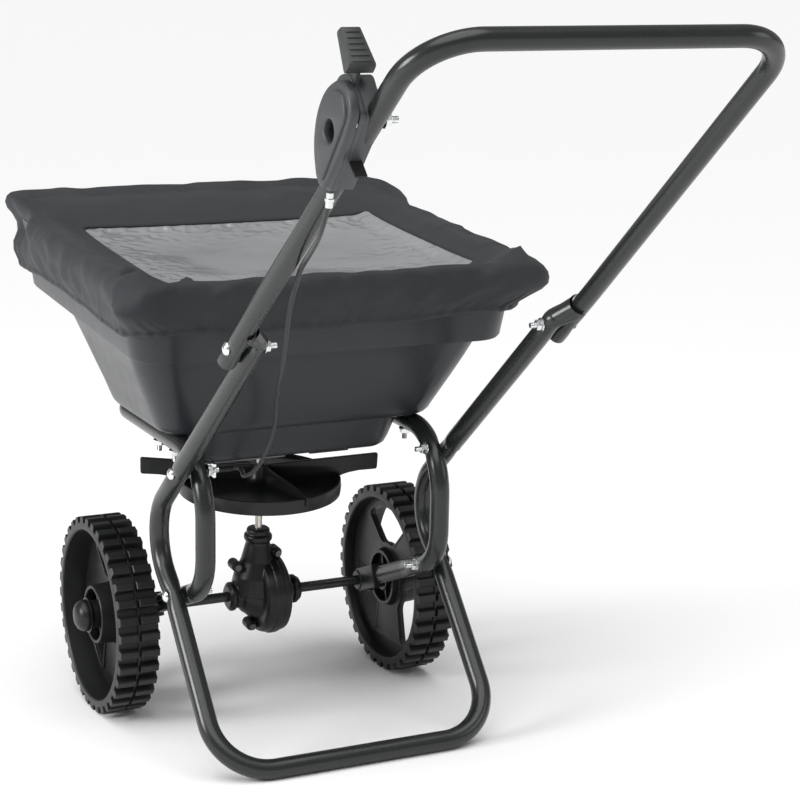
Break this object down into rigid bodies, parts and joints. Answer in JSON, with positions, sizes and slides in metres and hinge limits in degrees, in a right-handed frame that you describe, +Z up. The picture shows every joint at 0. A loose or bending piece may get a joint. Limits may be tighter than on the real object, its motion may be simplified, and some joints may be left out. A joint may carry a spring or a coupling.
{
  "type": "broadcast spreader",
  "caption": "Walk-behind broadcast spreader with a tapered hopper under a windowed rain cover, spinning disc, two lugged wheels, tubular frame with stand and a lever on the handle.",
  "frame": {"origin": "middle of the machine's footprint box, on the ground", "axes": "+Z up, +Y the direction of travel, +X the right-hand side of a person pushing it"},
  "size_m": [0.502, 1.0141, 0.8005],
  "materials": {
    "painted_steel": "satin black powder coat",
    "hopper_plastic": "fine grained dark grey moulding",
    "black_plastic": "satin black moulding",
    "grey_plastic": "satin dark grey moulding",
    "zinc": "bright zinc plate",
    "steel": "plain steel",
    "cover_fabric": "coated dark grey woven cover",
    "clear_film": "clear flexible film"
  },
  "bodies": {
    "frame": {"main_frame_tube": "painted_steel", "hopper_support_tube": "painted_steel", "upper_handle_tube": "painted_steel", "hopper": "hopper_plastic", "axle_bearing_left": "black_plastic", "axle_bearing_right": "black_plastic", "gearbox_rear_shell": "black_plastic", "gearbox_front_shell": "black_plastic", "hopper_bushing": "black_plastic", "shutter_guide_front": "black_plastic", "shutter_guide_rear": "black_plastic", "cable_ferrule": "black_plastic", "control_cable": "black_plastic", "control_cover": "grey_plastic", "control_body": "grey_plastic", "frame_bolt_lower_left": "zinc", "frame_bolt_lower_right": "zinc", "frame_bolt_upper_left": "zinc", "frame_bolt_upper_right": "zinc", "handle_bolt_left": "zinc", "handle_bolt_right": "zinc", "hopper_bolt_front_left": "zinc", "hopper_bolt_front_right": "zinc", "hopper_bolt_rear_left": "zinc", "hopper_bolt_rear_right": "zinc", "gearbox_screw_upper_left": "zinc", "gearbox_screw_upper_right": "zinc", "gearbox_screw_lower_left": "zinc", "gearbox_screw_lower_right": "zinc", "cable_bracket": "zinc", "lever_pivot_pin": "zinc", "control_clamp_bolt": "zinc", "shaft_bushing": "steel"},
    "drive_axle": {"axle": "painted_steel", "wheel_left": "black_plastic", "wheel_drive_pin": "steel", "axle_gear": "black_plastic", "hub_cap_left": "black_plastic", "hub_cap_right": "black_plastic", "axle_washer_left": "zinc", "axle_washer_right": "zinc"},
    "free_wheel": {"wheel_right": "black_plastic"},
    "spinner": {"spinner_shaft": "steel", "agitator_pin": "steel", "spinner_pin": "steel", "spinner": "black_plastic", "shaft_pinion": "steel"},
    "lever": {"control_lever": "black_plastic"},
    "shutter": {"shutter_plate": "steel", "shutter_wire": "steel"},
    "cover": {"cover_fabric": "cover_fabric", "cover_window": "clear_film"}
  },
  "joints": [
    {"name": "drive_wheel_spin", "type": "hinge", "parent": "frame", "child": "drive_axle", "pos_m": [0, 0.3007, 0.11494], "axis": [-1, 0, 0], "continuous": true},
    {"name": "free_wheel_spin", "type": "hinge", "parent": "frame", "child": "free_wheel", "pos_m": [0, 0.3007, 0.11494], "axis": [-1, 0, 0], "continuous": true},
    {"name": "spinner_spin", "type": "hinge", "parent": "frame", "child": "spinner", "pos_m": [0, 0.3007, 0.11494], "axis": [0, -0.1045, 0.9945], "continuous": true},
    {"name": "lever_swing", "type": "hinge", "parent": "frame", "child": "lever", "pos_m": [-0.194, -0.3883, 0.714], "axis": [-1, 0, 0], "range_deg": [0, 60]},
    {"name": "shutter_slide", "type": "slide", "parent": "frame", "child": "shutter", "axis": [1, 0, 0], "range_m": [0, 0.02]},
    {"name": "cover_lift", "type": "slide", "parent": "frame", "child": "cover", "axis": [0, -0.1045, 0.9945], "range_m": [0, 0.15]}
  ],
  "couplings": [
    {"joint": "spinner_spin", "follows": "drive_wheel_spin", "ratio": 3},
    {"joint": "shutter_slide", "follows": "lever_swing", "m_per_rad": 0.019099}
  ]
}
